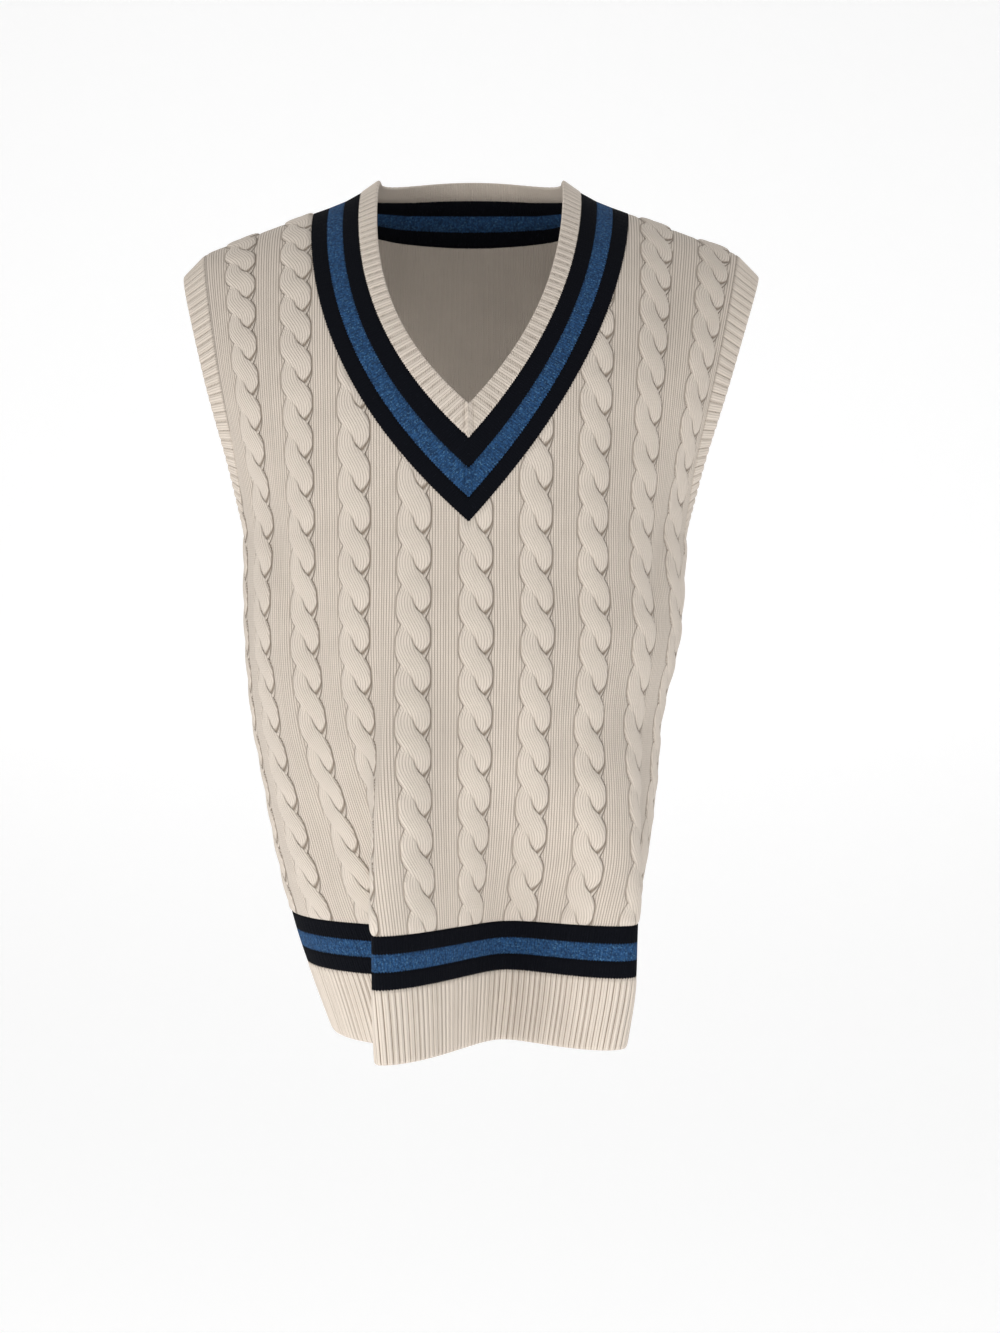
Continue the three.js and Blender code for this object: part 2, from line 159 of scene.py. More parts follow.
def make_ring_table():
    """x and y of every ring, sampled evenly along its cloth.
    A ring is a superellipse: x goes with the sine of an angle and y with its cosine, each to a power.
    A fold moves it out by reach times exp of minus the squared distance from the fold, over its width."""
    z = RING_LEVELS[:, None]
    turn = np.linspace(-2, 2, RING_ANGLES + 1)[None, :] * np.pi / 2
    sine, cosine = np.sin(turn), np.cos(turn)
    across = np.where(turn < 0, ring_size(LEFT, z), ring_size(RIGHT, z))
    deep = np.where(cosine > 0, ring_size(FRONT_DEEP, z), ring_size(BACK_DEEP, z))
    x = across * np.sign(sine) * np.abs(sine) ** (2 / RING_POWER)
    y = -deep * np.sign(cosine) * np.abs(cosine) ** (2 / RING_POWER)
    length = running_length(x, y)
    quarter = np.arange(5) * (RING_ANGLES // 4)
    place = per_row(length, length[:, quarter], np.arange(-2.0, 3.0))
    whole = np.diff(length[:, quarter], axis=1)
    whole = np.repeat(whole, RING_ANGLES // 4, axis=1)
    whole = np.concatenate([whole, whole[:, -1:]], axis=1)
    tx, ty = np.gradient(x, axis=1), np.gradient(y, axis=1)
    size = np.hypot(tx, ty)
    tx, ty = tx / size, ty / size
    out, along = np.zeros_like(x), np.zeros_like(x)
    for at, reach, before, after, lean, top, full, keeps, ends in FOLDS:
        grown = smooth((top - z) / (top - full)) * (1 - smooth((keeps - z) / (keeps - ends)))
        apart = (place - at + 2) % 4 - 2
        away = apart * whole / np.where(apart < 0, before, after)
        push = reach * grown * np.exp(-away * away)
        out += push
        along += push * lean
    x, y = x + ty * out + tx * along, y - tx * out + ty * along
    length = running_length(x, y)
    cloth = per_row(length, length[:, quarter], np.arange(-2.0, 3.0) * HALF_PANEL)
    even = np.arange(-HALF_ROUND, HALF_ROUND + STATION_STEP / 2, STATION_STEP)
    xs = np.array([np.interp(even, c, row) for c, row in zip(cloth, x)])
    ys = np.array([np.interp(even, c, row) for c, row in zip(cloth, y)])
    print("ring cloth, front half, at the chest and the hem:",
          [round(float(length[i, quarter[3]] - length[i, quarter[1]])) for i in (0, -1)], "mm")
    return np.stack([xs, ys], axis=-1)


def running_length(x, y):
    """Length along each row's line up to each point."""
    steps = np.hypot(np.diff(x, axis=1), np.diff(y, axis=1))
    return np.concatenate([np.zeros((len(x), 1)), np.cumsum(steps, axis=1)], axis=1)


def per_row(values, knots, marks):
    """Each row's values, read off a line that passes the marks at that row's knots."""
    return np.array([np.interp(v, k, marks) for v, k in zip(values, knots)])


ring_table = make_ring_table()


def ring_point(station, z):
    """x and y at a station and height, between the four nearest samples of the table."""
    u = np.clip((station + HALF_ROUND) / STATION_STEP, 0, ring_table.shape[1] - 1.001)
    v = np.clip((CHEST_Z - z) / 2.0, 0, ring_table.shape[0] - 1.001)
    i, j = u.astype(int), v.astype(int)
    fu, fv = (u - i)[..., None], (v - j)[..., None]
    near = mix(ring_table[j, i], ring_table[j, i + 1], fu)
    return mix(near, mix(ring_table[j + 1, i], ring_table[j + 1, i + 1], fu), fv)


# %% [markdown]
# ## The shoulders
#
# Above the chest line each column of cloth climbs a quarter of an ellipse, from the chest to the shoulder
# seam at the top, where the back's column meets it. The columns spread as they climb, because a vest is
# wider at its shoulders than the chest that it hangs round.

# %% The whole surface
SHOULDER_Z = 21.0
NECK_HALF = 130.0
SHOULDER_SLOPE = 0.37
SHOULDER_ROUND = 40.0
SHOULDER_FLARE = 1.1
FLAT_REACH = 310.0
FLAT_BY = 0.6


def shoulder_z(across):
    """Height of the shoulder line: a slope, a climb beside the neck and a drop at the shoulder's end."""
    x = np.abs(across)
    slope = SHOULDER_SLOPE * (np.hypot(x, SHOULDER_ROUND) - np.hypot(NECK_HALF, SHOULDER_ROUND))
    climb = np.maximum(0, 115 - np.maximum(x, 70))
    drop = np.maximum(0, x - 215)
    return SHOULDER_Z - slope + 0.006 * climb ** 2 - 0.02 * drop ** 2


def cloth_point(station, rise):
    """The cloth's outer face. Below the chest line it hangs on the rings. Above, as the angle goes from 0 to
    90 degrees, z goes with its sine, y with its cosine, and x moves from the ring's to the cloth's own."""
    station, rise = np.broadcast_arrays(np.asarray(station, float), np.asarray(rise, float))
    over = rise > SHOULDER_RISE
    rise = np.where(over, 2 * SHOULDER_RISE - rise, rise)
    station = np.where(over, np.sign(station) * (HALF_ROUND - np.abs(station)), station)
    station = (station + HALF_ROUND) % (2 * HALF_ROUND) - HALF_ROUND
    front = np.abs(station) <= HALF_PANEL
    across = np.where(front, station, np.sign(station) * (HALF_ROUND - np.abs(station)))
    side = np.where(front, -1.0, 1.0)
    low = ring_point(station, np.minimum(CHEST_Z + rise, CHEST_Z))
    angle = np.clip(rise / SHOULDER_RISE, 0, 1) * np.pi / 2
    up = np.sin(angle)
    flat = side * RINGS[0, FRONT_DEEP] * (1 - (np.abs(across) / FLAT_REACH) ** 3)
    y = mix(low[..., 1], flat, smooth(up / FLAT_BY)) * np.cos(angle)
    x = mix(low[..., 0], across, up ** SHOULDER_FLARE)
    z = np.where(rise > 0, mix(CHEST_Z, shoulder_z(across), up), CHEST_Z + rise)
    return np.stack([x, y, z], axis=-1)


def cloth_normal(station, rise, step=1.5):
    """The direction out of the cloth: the cross product of two short steps, one round it and one up it."""
    east = cloth_point(station + step, rise) - cloth_point(station - step, rise)
    north = cloth_point(station, rise + step) - cloth_point(station, rise - step)
    # Past the shoulder seam the columns run the other way round the vest, and so does the step up them.
    return unit(np.cross(east, north))


def unit(v):
    return v / np.maximum(np.linalg.norm(v, axis=-1, keepdims=True), 1e-9)


def climb_of(rise):
    """Length of cloth up to a rise, on a column that is a quarter of an ellipse 275 mm high, 130 deep."""
    angle = np.linspace(0, np.pi / 2, 200)
    step = np.hypot(275 * np.cos(angle), 130 * np.sin(angle))
    length = np.concatenate([[0], np.cumsum((step[1:] + step[:-1]) / 2 * np.diff(angle))])
    return np.where(rise > 0, np.interp(rise, angle / (np.pi / 2) * SHOULDER_RISE, length), rise)


RISE_MARKS = np.linspace(0, SHOULDER_RISE, 400)
CLIMB_MARKS = climb_of(RISE_MARKS)
TOP_CLIMB = float(CLIMB_MARKS[-1])


def rise_of(climb):
    """The other way round: the rise at a length of cloth above the chest line."""
    return np.where(climb > 0, np.interp(climb, CLIMB_MARKS, RISE_MARKS), climb)


def rise_at(across, z):
    """The rise at which a column above the chest line passes height z."""
    up = np.clip((z - CHEST_Z) / (shoulder_z(across) - CHEST_Z), 0, 1)
    return np.arcsin(up) / (np.pi / 2) * SHOULDER_RISE


print("cloth from hem to shoulder at the neck:", round(TOP_CLIMB + CHEST_Z - HEM_Z), "mm")

# %% [markdown]
# ## The seam lines
#
# The neckline is a V with five lines round it, one for each change of colour, and each line is a
# power curve from the point of the V to the shoulder, then an arc round the back of the neck.
# The armhole is straight up the panel from a quarter of an ellipse that turns in under the arm.

# %% Neck and armhole lines
#          tip    half  power backY backZ
NECK_LINES = np.array([
    (-247.0, 130.0, 2.00, 76.0, 12.0),
    (-228.5, 117.0, 2.05, 70.0, 24.5),
    (-206.0, 104.0, 2.15, 64.0, 37.0),
    (-182.5, 91.0, 2.25, 58.0, 49.0),
    (-157.0, 77.0, 2.60, 52.0, 62.0),
])


LEFT_FULLER = 1.2  # the left arm of the V hangs rounder than the right


def neck_front(line, share, hand):
    """Across and rise of a neck line's front half, from the point of the V (0) to the shoulder (1)."""
    tip, half, power = line[:3]
    up = np.sin(share * np.pi / 2)
    across = half * (1 - (1 - up) ** (power * np.where(hand < 0, LEFT_FULLER, 1.0)))
    return across, rise_at(across, mix(tip, shoulder_z(half), up))


def neck_seam_back(share):
    """Across and rise of the neckline seam on the back, from its middle (0) to the shoulder (1)."""
    _, half, _, _, back_z = NECK_LINES[0]
    angle = (1 - share) * np.pi / 2
    across = half * np.cos(angle)
    return across, rise_at(across, mix(shoulder_z(half), back_z, np.sin(angle) ** 2))


def armhole_line(share, inset=0.0):
    """Across and rise of an armhole from the side seam (0) to the shoulder (1)."""
    middle = ARMPIT_RISE + ARMHOLE_CURVE
    turn = np.clip(1 - share / 0.35, 0, 1) * np.pi / 2
    climb = np.clip((share - 0.35) / 0.65, 0, 1)
    across = HALF_PANEL - (HALF_PANEL - HALF_ACROSS_SHOULDERS - inset) * np.cos(turn)
    rise = middle - (ARMHOLE_CURVE - inset) * np.sin(turn)
    return across, mix(rise, SHOULDER_RISE, climb)


# %% [markdown]
# ## Meshes from grids
#
# Every piece is a grid of points, so one helper writes them all: it joins each point to its neighbours,
# closes the grid round on itself where asked, and stores the stitch coordinates and the painted shade of the
# hollows.

# %% Mesh helpers
def make_piece(name, points, faces, stitches, painted_shade, material, lining=None, lined_from=0):
    """A mesh object from points in millimetres, with stitch coordinates and a painted shade value at each,
    which darkens its colour. Faces from number lined_from on take the second material, lining."""
    mesh = bpy.data.meshes.new(name)
    mesh.from_pydata((points * MM).tolist(), [], faces)
    mesh.validate()
    mesh.update()
    for key, values in (("stitch_across", stitches[:, 0]), ("stitch_up", stitches[:, 1]), ("painted_shade", painted_shade)):
        layer = mesh.attributes.new(key, "FLOAT", "POINT")
        layer.data.foreach_set("value", np.ascontiguousarray(values, np.float32))
    mesh.polygons.foreach_set("use_smooth", np.ones(len(mesh.polygons), bool))
    mesh.materials.append(material)
    if lining:
        mesh.materials.append(lining)
        is_lining = np.arange(len(mesh.polygons)) >= lined_from
        mesh.polygons.foreach_set("material_index", is_lining.astype(np.int32))
    piece = bpy.data.objects.new(name, mesh)
    bpy.context.scene.collection.objects.link(piece)
    triangles = sum(len(f) - 2 for f in faces)
    print(f"{name}: {triangles} triangles")
    return piece


def grid_faces(rows, columns, close_rows=False, close_columns=False, start=0):
    """Quads of a grid stored row by row; a closed direction joins its last line to its first."""
    r = np.arange(rows if close_rows else rows - 1)
    c = np.arange(columns if close_columns else columns - 1)
    r, c = np.meshgrid(r, c, indexing="ij")
    r2, c2 = (r + 1) % rows, (c + 1) % columns
    quads = np.stack([r * columns + c, r * columns + c2, r2 * columns + c2, r2 * columns + c], axis=-1)
    return quads.reshape(-1, 4) + start


# %% [markdown]
# ## The knit material
#
# A knitted face is columns of small V shapes. Each V has two legs, so the bump is made of ridges that lean
# one way on the left of a column and the other way on the right. It reads the stitch coordinates that each
# piece stores, so the stitches follow the cloth, even along the strands of a cable. Cotton is matt with
# a little fuzz, which the sheen gives. Shade is painted into its colour: between the stitches, along the
# cable creases and purl lines, and as much as each point's stored painted shade value says.

# %% Node helpers
WALE = 2.25  # width of a column of stitches
COURSE = 1.75  # height of a row of stitches


class Nodes:
    """Short ways to add shader nodes to one material."""

    def __init__(self, material):
        material.use_nodes = True
        self.tree = material.node_tree
        self.shader = self.tree.nodes["Principled BSDF"]

    def add(self, kind, **settings):
        node = self.tree.nodes.new(kind)
        for key, value in settings.items():
            setattr(node, key, value)
        return node

    def put(self, value, socket):
        if isinstance(value, bpy.types.NodeSocket):
            self.tree.links.new(value, socket)
        else:
            socket.default_value = value

    def math(self, operation, a, b=0.0, c=0.0, clamp=False):
        node = self.add("ShaderNodeMath", operation=operation, use_clamp=clamp)
        for value, socket in zip((a, b, c), node.inputs):
            self.put(value, socket)
        return node.outputs[0]

    def attribute(self, name):
        return self.add("ShaderNodeAttribute", attribute_name=name).outputs["Fac"]

    def blend(self, factor, a, b, how="MIX"):
        node = self.add("ShaderNodeMix", data_type="RGBA", blend_type=how)
        self.put(factor, node.inputs[0])
        self.put(a, node.inputs[6])
        self.put(b, node.inputs[7])
        return node.outputs[2]

    def noise(self, scale, detail=2.0, roughness=0.5, vector=None):
        node = self.add("ShaderNodeTexNoise")
        node.inputs["Scale"].default_value = scale
        node.inputs["Detail"].default_value = detail
        node.inputs["Roughness"].default_value = roughness
        self.put(vector or self.place(), node.inputs["Vector"])
        return node.outputs[0]

    def place(self):
        return self.add("ShaderNodeTexCoord").outputs["Object"]

    def spread(self, value, low, high, to_low=0.0, to_high=1.0):
        node = self.add("ShaderNodeMapRange", clamp=True)
        for x, socket in zip((value, low, high, to_low, to_high), node.inputs):
            self.put(x, socket)
        return node.outputs[0]


def knit_columns(n):
    """The stitch column and row at each place, on plain knit: lengths over the size of one stitch."""
    column = n.math("DIVIDE", n.attribute("stitch_across"), WALE)
    row = n.math("DIVIDE", n.attribute("stitch_up"), COURSE)
    return column, row


def stitch_relief(n, column, row):
    """Height of the V stitches: 1 on the back of a leg, 0 in the gaps between columns and legs."""
    off_middle = n.math("ABSOLUTE", n.math("SUBTRACT", n.math("FRACT", column), 0.5))
    edge = n.math("POWER", n.math("MULTIPLY", off_middle, 2.0), 3.0)
    across_leg = n.math("SUBTRACT", 1.0, edge, clamp=True)
    slanted = n.math("ADD", row, n.math("MULTIPLY", off_middle, -1.3))
    along_leg = n.math("PINGPONG", slanted, 0.5)
    rounded = n.math("SINE", n.math("MULTIPLY", along_leg, np.pi))
    along = n.math("ADD", n.math("MULTIPLY", rounded, 0.3), 0.7)
    return n.math("MULTIPLY", n.math("POWER", across_leg, 0.6), along)


def cable_lines(n):
    """The same cable as the geometry's, worked out again at every point of the picture: the crease between
    its strands and the line of purl stitches round them, both thinner than the mesh could carry, and the
    stitch column counted from the middle of the strand on top. The two lines are pressed into the bump and
    also painted into the colour as shade."""
    u = n.math("WRAP", n.math("SUBTRACT", n.attribute("stitch_across"), CABLE_SHIFT),
               CABLE_SPACING / 2, -CABLE_SPACING / 2)
    turn = n.math("MULTIPLY", n.math("SUBTRACT", n.attribute("stitch_up"), FIRST_CROSSING), np.pi / CROSSING)
    cosine, sine = n.math("COSINE", turn), n.math("SINE", turn)
    ridges, outsides, middles = [], [], []
    for sign in (1.0, -1.0):
        forward = n.math("MULTIPLY", sine, sign)
        middle = n.math("MULTIPLY", cosine, STRAND_SWING * sign)
        swell = n.math("POWER", n.math("MAXIMUM", forward, 0.0), 2.0)
        half = n.math("MULTIPLY_ADD", swell, STRAND_SWELL, STRAND_HALF)
        off = n.math("ABSOLUTE", n.math("SUBTRACT", u, middle))
        q = n.math("DIVIDE", off, half)
        cap = n.math("SUBTRACT", 1.0, n.math("POWER", q, 2.4), clamp=True)
        ridges.append(n.math("MULTIPLY_ADD", n.math("POWER", cap, 0.6), STRAND_HEIGHT,
                             n.math("MULTIPLY", forward, STRAND_DEPTH)))
        outsides.append(n.math("SUBTRACT", off, half))
        middles.append(middle)
    first_on_top = n.math("GREATER_THAN", ridges[0], ridges[1])
    apart = n.math("ABSOLUTE", n.math("SUBTRACT", ridges[0], ridges[1]))
    outside = n.math("MINIMUM", *outsides)
    crease = n.math("MULTIPLY", n.spread(apart, 0.1, 0.55, 1.0, 0.0), n.math("LESS_THAN", outside, 0.0))
    crease = n.math("MULTIPLY", crease, n.spread(u, -5.0, 3.0))
    line = n.spread(n.math("ABSOLUTE", n.math("SUBTRACT", outside, 0.4)), 0.1, 0.8, 1.0, 0.0)
    line = n.math("MULTIPLY", line, n.spread(u, -14.0, 8.0, 0.7, 1.0))
    on_cable = n.math("LESS_THAN", outside, 0.0)
    middle = n.math("MULTIPLY_ADD", first_on_top, n.math("SUBTRACT", middles[0], middles[1]), middles[1])
    lengths = n.math("SUBTRACT", u, n.math("MULTIPLY", middle, on_cable))
    column = n.math("ADD", n.math("DIVIDE", lengths, WALE), 0.5)
    return n.math("MAXIMUM", crease, line), column, on_cable


def knit_material(name, colour, shade_colour, sheen, roughness, relief, gap_shade,
                  flecks=None, cables=False):
    """A matt knitted cloth with shade painted into its colour: it goes from colour to the shade colour in the
    hollows, between stitches and along the cable lines.
    """
    material = bpy.data.materials.new(name)
    n = Nodes(material)
    column, row = knit_columns(n)
    line = 0.0
    if cables:
        line, column, on_cable = cable_lines(n)
        gap_shade = n.math("MULTIPLY_ADD", on_cable, -0.75 * gap_shade, gap_shade)
    stitches = stitch_relief(n, column, row)
    fuzz = n.noise(900, 3.0, 0.65)
    patch = n.noise(28, 3.0, 0.55)
    shade = n.spread(patch, 0.3, 0.7, 0.955, 1.03)
    if flecks:
        dark, light = flecks
        cloudy = n.spread(n.noise(480, 2.0, 0.6), 0.4, 0.62)
        base = n.blend(cloudy, (*dark, 1), (*colour, 1))
        speck = n.spread(n.noise(760, 2.0, 0.7), 0.56, 0.68)
        base = n.blend(n.math("MULTIPLY", speck, 0.55), base, (*light, 1))
    else:
        base = (*colour, 1)
    # Painted shade: the gaps between stitches, the stored painted shade value and the cable lines darken the
    # colour towards the shade colour.
    gap_shade_amount = n.math("MULTIPLY", n.math("SUBTRACT", 1.0, stitches), gap_shade)
    deep = n.math("MAXIMUM", n.math("MAXIMUM", n.attribute("painted_shade"), gap_shade_amount), n.math("MULTIPLY", line, 0.85))
    tone = n.blend(n.math("MINIMUM", deep, 1.0), base, (*shade_colour, 1))
    grey = n.add("ShaderNodeCombineColor")
    for socket in grey.inputs:
        n.put(shade, socket)
    n.put(n.blend(1.0, tone, grey.outputs[0], "MULTIPLY"), n.shader.inputs["Base Color"])
    height = n.math("ADD", stitches, n.math("MULTIPLY", fuzz, 0.35))
    height = n.math("SUBTRACT", height, n.math("MULTIPLY", line, 1.2))
    bump = n.add("ShaderNodeBump")
    bump.inputs["Strength"].default_value = relief
    bump.inputs["Distance"].default_value = 0.0008
    n.put(height, bump.inputs["Height"])
    n.put(bump.outputs[0], n.shader.inputs["Normal"])
    n.put(n.spread(fuzz, 0.3, 0.7, roughness - 0.06, roughness + 0.06), n.shader.inputs["Roughness"])
    n.shader.inputs["Sheen Weight"].default_value = sheen
    n.shader.inputs["Sheen Roughness"].default_value = 0.5
    n.shader.inputs["Specular IOR Level"].default_value = 0.2
    return material


# %% The three yarns
# Sizes of the cables, in millimetres; the material and the geometry share them.
CABLE_SPACING = 49.1
CABLE_SHIFT = 6.0
CROSSING = 30.8
FIRST_CROSSING = 3.4
STRAND_SWING = 5.6
STRAND_HALF = 7.7
STRAND_SWELL = 3.2
STRAND_HEIGHT = 1.55
STRAND_DEPTH = 0.85

# Each yarn's second colour is the painted shade that its hollows and stitch gaps are darkened towards.
CREAM_LIGHT, CREAM_SHADE = (0.61, 0.54, 0.468), (0.17, 0.128, 0.09)
CREAM = knit_material("cream_cotton", CREAM_LIGHT, CREAM_SHADE, 0.12, 0.92, 0.8, 0.3)
CABLED = knit_material("cream_cabled", CREAM_LIGHT, CREAM_SHADE, 0.12, 0.92, 1.0, 0.8, cables=True)
BLACK = knit_material("black_cotton", (0.0030, 0.0036, 0.0058), (0.001, 0.001, 0.002), 0.0, 0.95, 0.7, 0.3)
BLACK.node_tree.nodes["Principled BSDF"].inputs["Specular IOR Level"].default_value = 0.06
BLUE = knit_material(
    "blue_heather", (0.016, 0.066, 0.17), (0.003, 0.012, 0.036), 0.0, 0.92, 0.8, 0.35,
    flecks=((0.007, 0.030, 0.080), (0.10, 0.24, 0.40)),
)

# %% [markdown]
# ## Cables
#
# A cable is two strands that cross over each other at even steps. Seen as a height, each strand is a rounded
# ridge whose middle swings from side to side with the cosine of an angle and whose depth goes with its sine,
# so the strand that comes forward hides the other. The cloth shows whichever is higher. A crease is pressed
# in where they meet on the side that tucks under, and a gutter of purl stitches runs down both edges.

# %% The height of the cables
CABLE_HALF = STRAND_SWING + STRAND_HALF


def cable_relief(across, climb):
    """Height of the body's knit in mm. Outside both strands a shallow gutter follows their outline."""
    u = (across - CABLE_SHIFT + CABLE_SPACING / 2) % CABLE_SPACING - CABLE_SPACING / 2
    turn = np.pi * (climb - FIRST_CROSSING) / CROSSING
    strands, outsides = [], []
    for sign in (1.0, -1.0):
        forward = sign * np.sin(turn)
        off = np.abs(u - sign * STRAND_SWING * np.cos(turn))
        half = STRAND_HALF + STRAND_SWELL * np.maximum(forward, 0) ** 2
        ridge = STRAND_DEPTH * forward + STRAND_HEIGHT * np.clip(1 - (off / half) ** 2.4, 0, 1) ** 0.6
        strands.append(np.where(off < half, ridge, -9))
        outsides.append(off - half)
    outside = np.minimum(*outsides)
    top = np.maximum(np.maximum(*strands), 0)
    meet = np.exp(-((strands[0] - strands[1]) / 0.6) ** 2) * smooth((u + 3) / 7)
    gutter = np.exp(-((outside - 0.8) / 1.2) ** 2)
    return np.where(outside < 0, top - 0.5 * meet, 0) - 0.5 * gutter


# %% [markdown]
# ## The body panels
#
# The front and the back are one piece each, from the stripes to the shoulders. The grid's columns stand
# close on the cables and wide on the plain stitches between, so they always run along the cables. The
# grid is then cut like cloth: what lies outside the armholes and the neckline goes, and the points just
# outside are drawn in to the cut.

# %% Cutting a panel out of a grid
def column_places():
    """Places across a panel: 1.1 mm apart on a cable, 2.7 mm on the plain stitches."""
    fine = np.linspace(-CABLE_HALF, CABLE_HALF, 27)
    edge = np.array([CABLE_HALF + 0.9, CABLE_HALF + 2.2])
    plain = np.linspace(CABLE_HALF + 4.2, CABLE_SPACING - CABLE_HALF - 4.2, 6)
    repeat = np.concatenate([fine, edge, plain, CABLE_SPACING - edge[::-1]])
    places = np.concatenate([repeat + CABLE_SHIFT + n * CABLE_SPACING for n in range(-6, 6)])
    places = places[np.abs(places) < HALF_PANEL - 1]
    return np.concatenate([[-HALF_PANEL], places, [HALF_PANEL]])


def panel_outline(front):
    """The cut edge of a panel as (across, climb), counterclockwise from its lower left corner."""
    foot = STRIPE_TOP_Z - CHEST_Z
    arm_across, arm_rise = armhole_line(np.linspace(0, 1, 60))
    halves = []
    for hand in (1, -1):
        share = np.linspace(1, 0, 90)
        neck_across, neck_rise = neck_front(NECK_LINES[0], share, hand) if front else neck_seam_back(share)
        across = np.concatenate([[HALF_PANEL], arm_across, neck_across]) * hand
        rise = np.concatenate([[foot], arm_rise, neck_rise])
        halves.append(np.stack([across, climb_of(rise)], axis=-1)[::hand])
    return np.concatenate(halves)


def inside_outline(points, outline):
    """True for points with an odd number of outline edges to their right."""
    inside = np.zeros(len(points), bool)
    for p, q in zip(outline, np.roll(outline, -1, axis=0)):
        crosses = (p[1] > points[:, 1]) != (q[1] > points[:, 1])
        if crosses.any():
            at = p[0] + (points[:, 1] - p[1]) / (q[1] - p[1] + 1e-12) * (q[0] - p[0])
            inside ^= crosses & (points[:, 0] < at)
    return inside


def nearest_on_outline(points, outline):
    """Each point's nearest place on the outline, and how far away it is."""
    best = np.full(len(points), np.inf)
    place = points.copy()
    for p, q in zip(outline, np.roll(outline, -1, axis=0)):
        edge = q - p
        t = np.clip(((points - p) @ edge) / max(edge @ edge, 1e-9), 0, 1)
        at = p + t[:, None] * edge
        far = np.linalg.norm(points - at, axis=1)
        nearer = far < best
        best[nearer], place[nearer] = far[nearer], at[nearer]
    return place, best


def cut_grid(columns, rows, outline):
    """The cut grid: its (across, climb) pairs, its quads, and each point's distance from the cut."""
    across, climb = np.meshgrid(columns, rows)
    pairs = np.stack([across.ravel(), climb.ravel()], axis=-1)
    shrunk = pairs * (1 - 1e-6)
    inside = inside_outline(shrunk, outline).reshape(across.shape)
    padded = np.pad(inside, 1)
    touched = np.zeros_like(inside)
    for dr in (0, 1, 2):
        for dc in (0, 1, 2):
            touched |= padded[dr:dr + inside.shape[0], dc:dc + inside.shape[1]]
    rim = (touched & ~inside).ravel()
    place, away = nearest_on_outline(pairs, outline)
    pairs[rim] = place[rim]
    away[rim] = 0
    quads = grid_faces(len(rows), len(columns))
    kept = (inside.ravel() | rim)[quads].all(axis=1) & inside.ravel()[quads].any(axis=1)
    quads = quads[kept]
    used, renumbered = np.unique(quads, return_inverse=True)
    return pairs[used], renumbered.reshape(-1, 4), away[used]


# %% [markdown]
# ## Soft creases
#
# Worn cloth also has a few small creases that pull from under the arms and hang from the shoulders. Each
# is a soft trough or ridge along a short line on the panel, uneven like the ones on a
# vest that has been pulled on and left. They are only a few millimetres deep, so they fade before the seams.

# %% Creases of the panels, in millimetres of cloth
#         from across, climb  to across, climb  width  lift
FRONT_CREASES = (
    (-205.0, 55.0, -150.0, -70.0, 15.0, -3.2),
    (212.0, 75.0, 160.0, -60.0, 13.0, -3.4),
    (-128.0, 240.0, -140.0, 70.0, 20.0, -2.6),
    (170.0, 255.0, 152.0, 60.0, 16.0, -2.8),
    (78.0, -30.0, 92.0, -190.0, 26.0, -2.4),
    (-42.0, -60.0, -66.0, -230.0, 24.0, 2.6),
    (-190.0, -110.0, -176.0, -250.0, 18.0, -2.2),
)
BACK_CREASES = (
    (-200.0, 60.0, -140.0, -50.0, 15.0, -3.0),
    (208.0, 40.0, 138.0, -80.0, 17.0, -3.4),
    (-70.0, 260.0, -82.0, 90.0, 24.0, -2.4),
    (96.0, 280.0, 74.0, 120.0, 20.0, -2.2),
    (24.0, -20.0, 38.0, -210.0, 28.0, 2.8),
    (-150.0, -90.0, -128.0, -240.0, 20.0, -2.6),
)


def crease_lift(pairs, creases):
    """Sum of the creases at (across, climb) pairs: the lift times exp of minus the squared distance from the
    crease's line over its width, fading along the last third of the line at each end."""
    lift = np.zeros(len(pairs))
    for x0, y0, x1, y1, width, height in creases:
        start, run = np.array([x0, y0]), np.array([x1 - x0, y1 - y0])
        length = np.hypot(*run)
        t = (pairs - start) @ run / length ** 2
        bow = 6 * np.sin(np.pi * np.clip(t, 0, 1))
        off = ((pairs - start) @ np.array([-run[1], run[0]])) / length - bow
        lift += height * np.exp(-(off / width) ** 2) * smooth(t * 3 + 0.5) * smooth((1 - t) * 3 + 0.5)
    return lift


# %% Building both panels
INNER_STEP = 7.0


